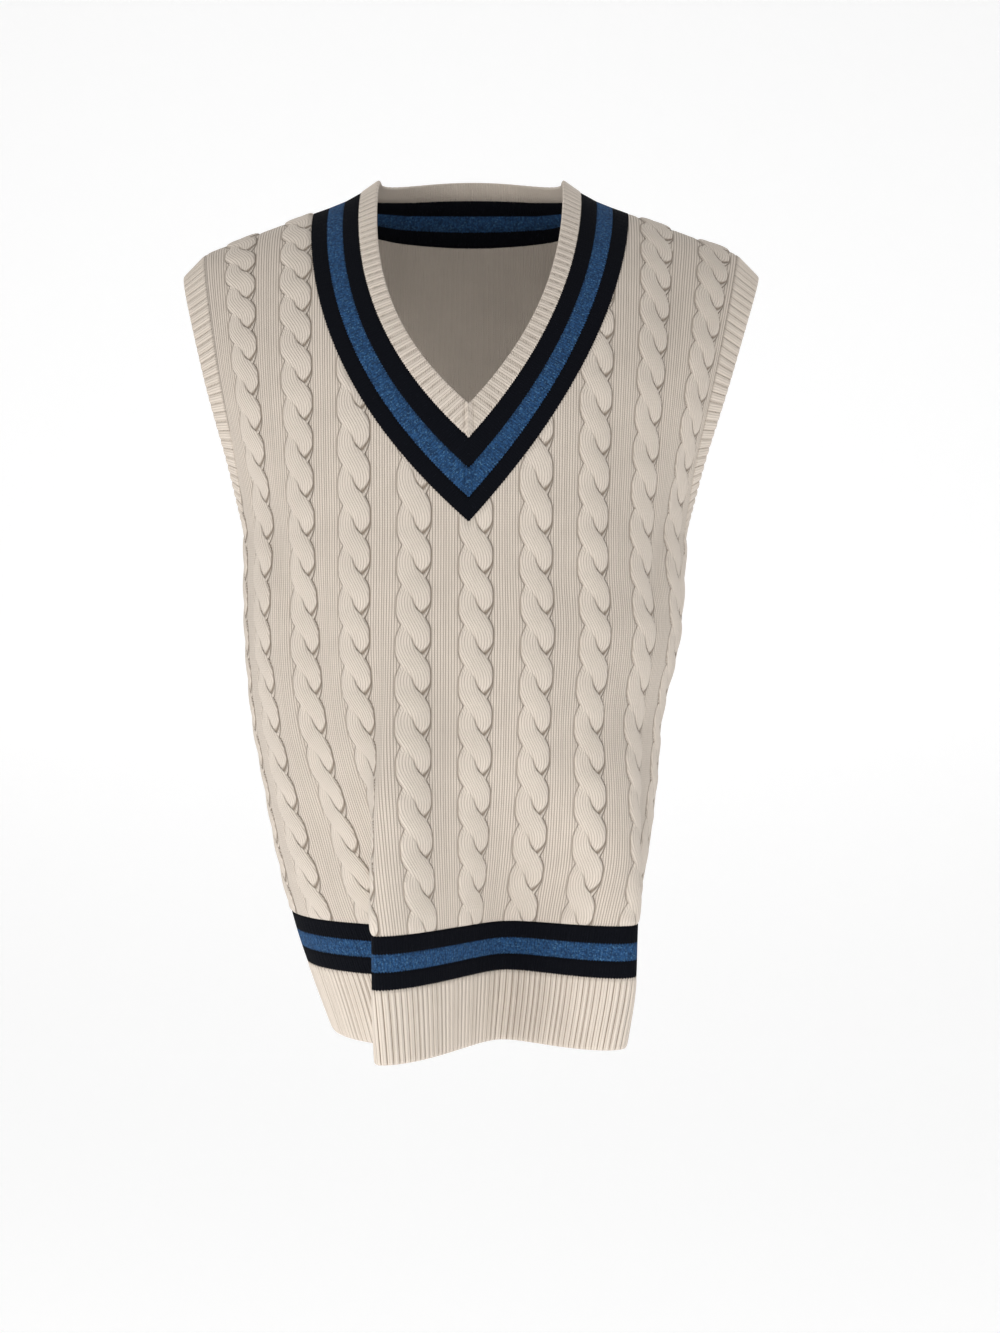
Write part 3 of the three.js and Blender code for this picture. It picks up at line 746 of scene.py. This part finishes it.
def body_panel(name, front, row_step):
    """Outer face with the cables on it, and a plainer inner face WALL behind. Seen from behind, the back's
    across runs the other way, so it is turned round for the cables to twist like the front's."""
    hand = 1 if front else -1
    outline = panel_outline(front)
    foot = STRIPE_TOP_Z - CHEST_Z
    rows = np.linspace(foot, TOP_CLIMB, int((TOP_CLIMB - foot) / row_step) + 1)
    outer, outer_quads, away = cut_grid(np.sort(column_places() * hand), rows, outline)
    coarse_columns = np.linspace(-HALF_PANEL, HALF_PANEL, int(2 * HALF_PANEL / INNER_STEP) + 1)
    coarse_rows = np.linspace(foot, TOP_CLIMB, int((TOP_CLIMB - foot) / INNER_STEP) + 1)
    inner, inner_quads, inner_away = cut_grid(coarse_columns, coarse_rows, outline)
    height = cable_relief(outer[:, 0] * hand, outer[:, 1])
    seam = smooth(away / 3.5)
    creases = FRONT_CREASES if front else BACK_CREASES
    height = height * seam - 0.5 * (1 - seam) + crease_lift(outer, creases) * smooth(away / 30)
    depth = crease_lift(inner, creases) * smooth(inner_away / 30) - WALL

    def place(pairs, lift):
        rise = rise_of(pairs[:, 1])
        station = pairs[:, 0] if front else np.sign(pairs[:, 0] + 1e-9) * (HALF_ROUND - np.abs(pairs[:, 0]))
        return cloth_point(station, rise) + cloth_normal(station, rise) * np.reshape(lift, (-1, 1))

    points = np.concatenate([place(outer, height), place(inner, depth)])
    outer_quads = outer_quads if front else outer_quads[:, ::-1]
    inner_quads = inner_quads[:, ::-1] if front else inner_quads
    faces = np.concatenate([outer_quads, inner_quads + len(outer)]).tolist()
    stitches = np.concatenate([outer, inner]) * (hand, 1)
    # Painted shade: the inner face is darkened 0.2 of the way to the shade colour, the outer face not at all.
    painted_shades = np.concatenate([np.zeros(len(outer)), np.full(len(inner), 0.2)])
    return make_piece(name, points, faces, stitches, painted_shades, CABLED, CREAM, len(outer_quads))


ROW_STEP = 2.4
front_body = body_panel("front_body_knit", True, ROW_STEP)
back_body = body_panel("back_body_knit", False, ROW_STEP)

# %% [markdown]
# ## Bands
#
# The stripes, the hem rib, the neckband and the armhole ribs are all strips of cloth with an outer face, an
# inner face and edges between. So one section, a closed loop of (how far across the strip, how far out of
# the cloth), is carried along the strip. A rib lifts the outer face in waves along the strip. Where two
# colours meet, both edges follow one zigzag of stitches.

# %% One strip of cloth
def zigzag(along, size=0.6):
    """The small teeth where one colour's stitches end: a triangle wave one stitch wide."""
    return size * (2 * np.abs(((along / WALE) % 1) * 2 - 1) - 1)


def band_section(steps, free_edge):
    """The strip's section: shares across it and heights out of it, from one edge over the outer face to the
    other and back along the inner face. A free edge is rounded like a roll, a sewn one is square."""
    outer = np.linspace(0, 1, steps)
    lift = np.zeros(steps)
    if free_edge:
        turn = np.linspace(0, np.pi, 7)[1:-1]
        edge_share = 1 + 0.06 * np.sin(turn)
        edge_lift = -WALL / 2 + WALL / 2 * np.cos(turn)
    else:
        edge_share, edge_lift = np.array([]), np.array([])
    inner = np.linspace(1, 0, max(steps // 3, 3))
    share = np.concatenate([outer, edge_share, inner])
    depth = np.concatenate([lift, edge_lift, np.full(len(inner), -WALL)])
    over_edge = np.cos(np.linspace(0, np.pi / 2, len(edge_share)))
    face = np.concatenate([np.ones(steps), over_edge, np.zeros(len(inner))])
    return share, depth, face


def foot_lengths(points, line, lengths, closed_from):
    """How far along a line the foot of each point's perpendicular lies. Only the line's stops near the
    point's own are searched, and never across the point of a V, which is what makes ribs meet in a mitre."""
    count = len(line)
    reach = np.arange(-60, 61)
    near = np.arange(count)[:, None] + reach
    half = (np.arange(count) >= closed_from)[:, None]
    if closed_from < count:
        near = np.where(half, np.clip(near, closed_from, count), np.clip(near, 0, closed_from))
    near = near % count
    tangent = unit(np.roll(line, -1, axis=0) - np.roll(line, 1, axis=0))
    if closed_from < count:
        tangent[0] = unit(line[1] - line[0])
    feet = np.empty(points.shape[:2])
    for k in range(points.shape[1]):
        apart = points[:, k, None] - line[near]
        best = np.argmin((apart ** 2).sum(axis=-1), axis=1)
        stop = near[np.arange(count), best]
        feet[:, k] = lengths[stop] + (apart[np.arange(count), best] * tangent[stop]).sum(axis=-1)
    return feet


def rib_shape(along, pitch):
    """Ribs are round ridges with narrow valleys: the size of a cosine, to a power below one."""
    return np.abs(np.cos(np.pi * along / pitch)) ** 0.5


def band_piece(start, end, normal, along, width, ribs, pitch, closed, free_edge=False,
               teeth=(True, True), steps=6, feet=None, ridge=None):
    """A strip between two lines of points, start and end, a section at each station of them.
    along is the length at each station, width the strip's own width, both in mm. feet gives the rib's place
    at every point where ribs do not run with the sections. ridge is an extra height."""
    share, depth, face = band_section(steps, free_edge)
    tooth = zigzag(along)[:, None]
    wide = width if np.ndim(width) else np.full(len(along), float(width))
    at_start = tooth * teeth[0] * np.clip(1 - share, 0, 1)
    at_end = tooth * teeth[1] * np.clip(share, 0, 1)
    shift = (at_start + at_end) / wide[:, None]
    t = share[None, :] + shift
    flat = start[:, None] + (end - start)[:, None] * t[..., None]
    place = np.broadcast_to(along[:, None], t.shape) if feet is None else feet(flat)
    rounded = rib_shape(place, pitch)
    fade = np.minimum(smooth((share + 0.02) * 8), smooth((1.12 - share) * 6)) if free_edge else 1.0
    lift = depth[None, :] + ribs * (rounded - 0.6) * face[None, :] * fade
    if ridge is not None:
        lift = lift + ridge(flat) * face[None, :]
    points = flat + normal(t) * lift[..., None]
    count, around = points.shape[:2]
    faces = grid_faces(count, around, close_rows=closed, close_columns=True).tolist()
    if not closed:
        last = (count - 1) * around
        faces.append(list(range(around))[::-1])
        faces.append([last + k for k in range(around)])
    stitches = np.stack([place, t * wide[:, None]], axis=-1)
    # Painted shade: the valleys between ribs and the inner face are darkened towards the shade colour.
    painted_shade = np.clip((0.66 - rounded) * 1.4, 0, 1) * face[None, :] * min(ribs, 1.0)
    painted_shade = painted_shade + 0.2 * (1 - face[None, :])
    return points, faces, stitches, painted_shade


# %% [markdown]
# ## Stripes and hem
#
# Three stripes of one height, black, blue and black, then the ribbed hem. On the real vest they are knitted
# on below the cables. The strips hang on the same rings as the body, so they follow every fold.

# %% Hem bands
HEM_RIB_PITCH = 5.0


def hem_band(name, front, top, foot, ribs, pitch, material, step, free_edge, teeth, steps):
    """A level strip of one panel, from height top down to height foot."""
    along = np.linspace(-HALF_PANEL, HALF_PANEL, int(2 * HALF_PANEL / step) + 1)
    station = along if front else np.where(along < 0, along + HALF_ROUND, along - HALF_ROUND)
    high, low = top - CHEST_Z, foot - CHEST_Z
    start, end = cloth_point(station, high), cloth_point(station, low)

    def normal(t):
        rise = mix(high, low, np.clip(t, 0, 1))
        return cloth_normal(np.broadcast_to(station[:, None], t.shape), rise)

    points, faces, stitches, painted_shade = band_piece(
        start, end, normal, along, top - foot, ribs, pitch, False, free_edge, teeth, steps)
    # Between its edges the strip follows the rings, not the straight line from one edge to the other.
    share = np.clip(stitches[..., 1] / (top - foot), 0, 1)
    rings = cloth_point(np.broadcast_to(station[:, None], share.shape), mix(high, low, share))
    chord = start[:, None] + (end - start)[:, None] * share[..., None]
    points = points + rings - chord
    faces = [f[::-1] for f in faces]
    return make_piece(name, points.reshape(-1, 3), faces, stitches.reshape(-1, 2), painted_shade.ravel(), material)


hem_pieces = {}
for front, word in ((True, "front"), (False, "back")):
    top = STRIPE_TOP_Z
    stripes = (("stripe_upper_black", BLACK), ("stripe_blue", BLUE), ("stripe_lower_black", BLACK))
    for part, material in stripes:
        hem_pieces[f"{word}_{part}"] = hem_band(
            f"{word}_{part}_knit", front, top, top - STRIPE, 0.35, HEM_RIB_PITCH, material, WALE / 4,
            False, (True, True), 5)
        top -= STRIPE
    hem_pieces[f"{word}_hem_rib"] = hem_band(
        f"{word}_hem_rib_knit", front, top, HEM_Z, 1.3, HEM_RIB_PITCH, CREAM, HEM_RIB_PITCH / 8,
        True, (True, False), 14)

# %% [markdown]
# ## The neckband
#
# The neckband is knitted on last, in rounds: black, blue, black, then cream. In the point of the V its ribs
# meet in a mitre. Its four rings lie between the five neck lines, with the same stops along each, so a
# stripe keeps its place all the way round.

# %% Neck lines in space
NECK_RIB_PITCH = 6.6


def neck_stops(count):
    """Shares, sides and hands of evenly spaced stops round the neck, from the point of the V and back."""
    t = np.arange(count) / count * 4
    front = (t < 1.5) | (t >= 2.5)
    share = np.where(t < 1.5, t / 1.5, np.where(t >= 2.5, (4 - t) / 1.5, np.abs(t - 2) / 0.5))
    hand = np.where(t < 2, 1.0, -1.0)
    return share, front, hand


def neck_line_points(number, share, front, hand):
    """A neck line's points, and across and rise where it lies on the front."""
    line, seam, edge = NECK_LINES[number], NECK_LINES[0], NECK_LINES[-1]
    across, rise = neck_front(line, share, hand)
    on_front = cloth_point(across * hand, rise)

    def arc(row):
        angle = (1 - share) * np.pi / 2
        z = mix(shoulder_z(row[1]), row[4], np.sin(angle) ** 2)
        return np.stack([hand * row[1] * np.cos(angle), row[3] * np.sin(angle), z], axis=-1)

    seam_across, seam_rise = neck_seam_back(share)
    on_seam = cloth_point(hand * (HALF_ROUND - seam_across), seam_rise)
    near = (line[1] - edge[1]) / (seam[1] - edge[1])
    on_back = arc(line) + (on_seam - arc(seam)) * near
    return np.where(front[:, None], on_front, on_back)


def even_stops(count):
    """Stops spaced evenly along the middle neck line, by length."""
    share, front, hand = neck_stops(6000)
    line = neck_line_points(2, share, front, hand)
    steps = np.linalg.norm(np.roll(line, -1, axis=0) - line, axis=1)
    length = np.concatenate([[0], np.cumsum(steps)])
    whole = length[-1]
    at = np.interp(np.arange(count) / count * whole, length, np.arange(6001) / 6000 * 4)
    front = (at < 1.5) | (at >= 2.5)
    share = np.where(at < 1.5, at / 1.5, np.where(at >= 2.5, (4 - at) / 1.5, np.abs(at - 2) / 0.5))
    return share, front, np.where(at < 2, 1.0, -1.0), whole


NECK_COUNT = 1760
neck_share, neck_is_front, neck_hand, neck_round = even_stops(NECK_COUNT)
neck_along = np.arange(NECK_COUNT) / NECK_COUNT * neck_round
neck_points = [neck_line_points(i, neck_share, neck_is_front, neck_hand) for i in range(len(NECK_LINES))]
print("round the neckband's middle:", round(neck_round), "mm")

# %% Neck rings
def neck_normal():
    """Square to the whole band at each stop: along it, crossed with the way from seam to free edge."""
    middle = neck_points[2]
    along = np.roll(middle, -1, axis=0) - np.roll(middle, 1, axis=0)
    normal = unit(np.cross(along, neck_points[-1] - neck_points[0]))
    for _ in range(3):
        normal = unit(np.roll(normal, 1, axis=0) + normal + np.roll(normal, -1, axis=0))
    return normal


neck_out = neck_normal()


def neck_ring(name, number, ribs, material, free_edge, teeth, steps, wale=0.0):
    """One ring of the band. wale is the height of the single raised column down the point of the V."""
    start, end = neck_points[number], neck_points[number + 1]
    width = np.linalg.norm(end - start, axis=1)
    steps_along = np.linalg.norm(np.roll(start, -1, axis=0) - start, axis=1)
    lengths = np.concatenate([[0], np.cumsum(steps_along)[:-1]])
    pitch = lengths[NECK_COUNT // 2] / (round(lengths[NECK_COUNT // 2] / NECK_RIB_PITCH) + 0.5)

    def feet(points):
        return foot_lengths(points, start, lengths, NECK_COUNT // 2)

    def ridge(points):
        off = np.abs(points[..., 0])
        crest = np.exp(-(off / 1.6) ** 2)
        groove = 0.6 * np.exp(-((off - 3.2) / 1.1) ** 2)
        return wale * (crest - groove) * (points[..., 1] < -60)

    points, faces, stitches, painted_shade = band_piece(
        start, end, lambda t: np.broadcast_to(neck_out[:, None], (*t.shape, 3)), neck_along, width,
        ribs, pitch, True, free_edge, teeth, steps, feet, ridge)
    return make_piece(name, points.reshape(-1, 3), faces, stitches.reshape(-1, 2), painted_shade.ravel(), material)


neck_pieces = {
    "neck_outer_black": neck_ring("neck_outer_black_knit", 0, 0.25, BLACK, False, (True, True), 6),
    "neck_blue": neck_ring("neck_blue_knit", 1, 0.25, BLUE, False, (True, True), 6, 0.9),
    "neck_inner_black": neck_ring("neck_inner_black_knit", 2, 0.25, BLACK, False, (True, True), 6),
    "neck_rib": neck_ring("neck_rib_knit", 3, 1.5, CREAM, True, (True, False), 10, 1.5),
}

# %% [markdown]
# ## The armhole ribs
#
# A narrow rib is knitted on round each armhole. It starts at the seam, on the body's own surface, and flares
# out a little past it, because nothing but the rib's own stretch holds its free edge.

# %% Armhole rings
ARM_RIB_PITCH = 7.8
ARM_COUNT = 1040


def armhole_stops(count):
    """Stops round an armhole, evenly spaced by length, as a share and a front or back."""
    t = np.linspace(0, 2, 4001)
    across, rise = armhole_line(1 - np.abs(1 - t), ARMHOLE_BAND / 2)
    line = cloth_point(np.where(t < 1, across, HALF_ROUND - across), rise)
    length = np.concatenate([[0], np.cumsum(np.linalg.norm(np.diff(line, axis=0), axis=1))])
    at = np.interp(np.arange(count) / count * length[-1], length, t)
    return 1 - np.abs(1 - at), at < 1, length[-1]


def armhole_ring(name, hand):
    share, front, whole = armhole_stops(ARM_COUNT)

    def line(inset):
        across, rise = armhole_line(share, inset)
        station = np.where(front, across, HALF_ROUND - across) * hand
        return station, rise, cloth_point(station, rise)

    seam_station, seam_rise, seam = line(0.0)
    _, _, edge = line(ARMHOLE_BAND)
    out = unit(cloth_normal(seam_station, np.minimum(seam_rise, SHOULDER_RISE - 2)))
    along = np.arange(ARM_COUNT) / ARM_COUNT * whole
    width = np.linalg.norm(edge - seam, axis=1)
    steps_along = np.linalg.norm(np.roll(seam, -1, axis=0) - seam, axis=1)
    seam_lengths = np.concatenate([[0], np.cumsum(steps_along)[:-1]])
    pitch = steps_along.sum() / round(steps_along.sum() / ARM_RIB_PITCH)
    points, faces, stitches, painted_shade = band_piece(
        seam, edge, lambda t: np.broadcast_to(out[:, None], (*t.shape, 3)), along, width, 1.6, pitch,
        True, True, (False, False), 10, lambda points: foot_lengths(points, seam, seam_lengths, ARM_COUNT))
    if hand < 0:
        faces = [f[::-1] for f in faces]
    print(f"{name}: {round(whole)} mm round")
    return make_piece(name, points.reshape(-1, 3), faces, stitches.reshape(-1, 2), painted_shade.ravel(), CREAM)


arm_pieces = {
    "armhole_rib_left": armhole_ring("armhole_rib_left_knit", -1),
    "armhole_rib_right": armhole_ring("armhole_rib_right_knit", 1),
}

# %% [markdown]
# ## Floor and light
#
# The vest floats where the wearer's shoulders would hold it, over a plain pale floor that curves up behind.
# A large lamp on the left models the cables, and a weaker one on the right keeps the shaded side open.

# %% Floor
FLOOR_Z = -1.45
FLOOR_NEAR, FLOOR_FAR, WALL_TOP, FLOOR_SIDE = -7.0, 3.5, 6.0, 8.0


def make_backdrop():
    """A profile, flat then a quarter circle then upright, carried sideways."""
    turn = np.linspace(0, np.pi / 2, 16)
    curve = 1.0
    y = np.concatenate([[FLOOR_NEAR], FLOOR_FAR + curve * np.sin(turn), [FLOOR_FAR + curve]])
    z = np.concatenate([[FLOOR_Z], FLOOR_Z + curve * (1 - np.cos(turn)), [WALL_TOP]])
    x = np.array([-FLOOR_SIDE, FLOOR_SIDE])
    points = np.stack([np.broadcast_to(x, (len(y), 2)), np.broadcast_to(y[:, None], (len(y), 2)),
                       np.broadcast_to(z[:, None], (len(y), 2))], axis=-1)
    mesh = bpy.data.meshes.new("backdrop")
    mesh.from_pydata(points.reshape(-1, 3).tolist(), [], grid_faces(len(y), 2).tolist())
    mesh.polygons.foreach_set("use_smooth", np.ones(len(mesh.polygons), bool))
    material = bpy.data.materials.new("pale_floor")
    material.use_nodes = True
    sockets = material.node_tree.nodes["Principled BSDF"].inputs
    sockets["Base Color"].default_value = (0.95, 0.95, 0.95, 1)
    sockets["Emission Color"].default_value = (1, 1, 1, 1)
    sockets["Emission Strength"].default_value = 0.17
    sockets["Roughness"].default_value = 0.9
    mesh.materials.append(material)
    backdrop = bpy.data.objects.new("backdrop", mesh)
    bpy.context.scene.collection.objects.link(backdrop)


make_backdrop()

# %% Lights
def area_light(name, place, target, size, power, colour):
    data = bpy.data.lights.new(name, "AREA")
    data.size = size
    data.energy = power
    data.color = colour
    lamp = bpy.data.objects.new(name, data)
    lamp.location = place
    away = np.array(place, float) - np.array(target, float)
    flat = np.hypot(away[0], away[1])
    lamp.rotation_euler = (np.arctan2(flat, away[2]), 0, np.arctan2(away[0], -away[1]))
    bpy.context.scene.collection.objects.link(lamp)


area_light("window_left", (-2.3, -1.5, -0.4), (0, 0, -0.4), 1.3, 30, (1.0, 0.99, 0.98))
area_light("fill_right", (2.4, -1.2, -0.5), (0, 0, -0.4), 1.6, 20.5, (0.97, 0.98, 1.0))
area_light("low_front", (-0.2, -1.1, -1.2), (0, 0, -0.66), 0.5, 6.5, (1, 0.99, 0.98))
area_light("top_soft", (0.0, -0.4, 2.4), (0, 0, -0.3), 2.0, 6, (1, 1, 1))

world = bpy.data.worlds.new("studio")
world.use_nodes = True
world.node_tree.nodes["Background"].inputs[0].default_value = (1, 1, 1, 1)
world.node_tree.nodes["Background"].inputs[1].default_value = 0.66
bpy.context.scene.world = world
bpy.context.scene.view_settings.view_transform = "Standard"

# %% [markdown]
# ## Joining the pieces to the frame
#
# Nothing moves on a vest, so every piece rides on the one body. Each replaces its own solid, which is
# hidden, and is a sheet of cloth.


def declare(piece, node):
    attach(piece, "root")
    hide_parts(node)


declare(front_body, "front_body")
declare(back_body, "back_body")
for node, piece in hem_pieces.items():
    declare(piece, node)
for node, piece in neck_pieces.items():
    declare(piece, node)
for node, piece in arm_pieces.items():
    declare(piece, node)
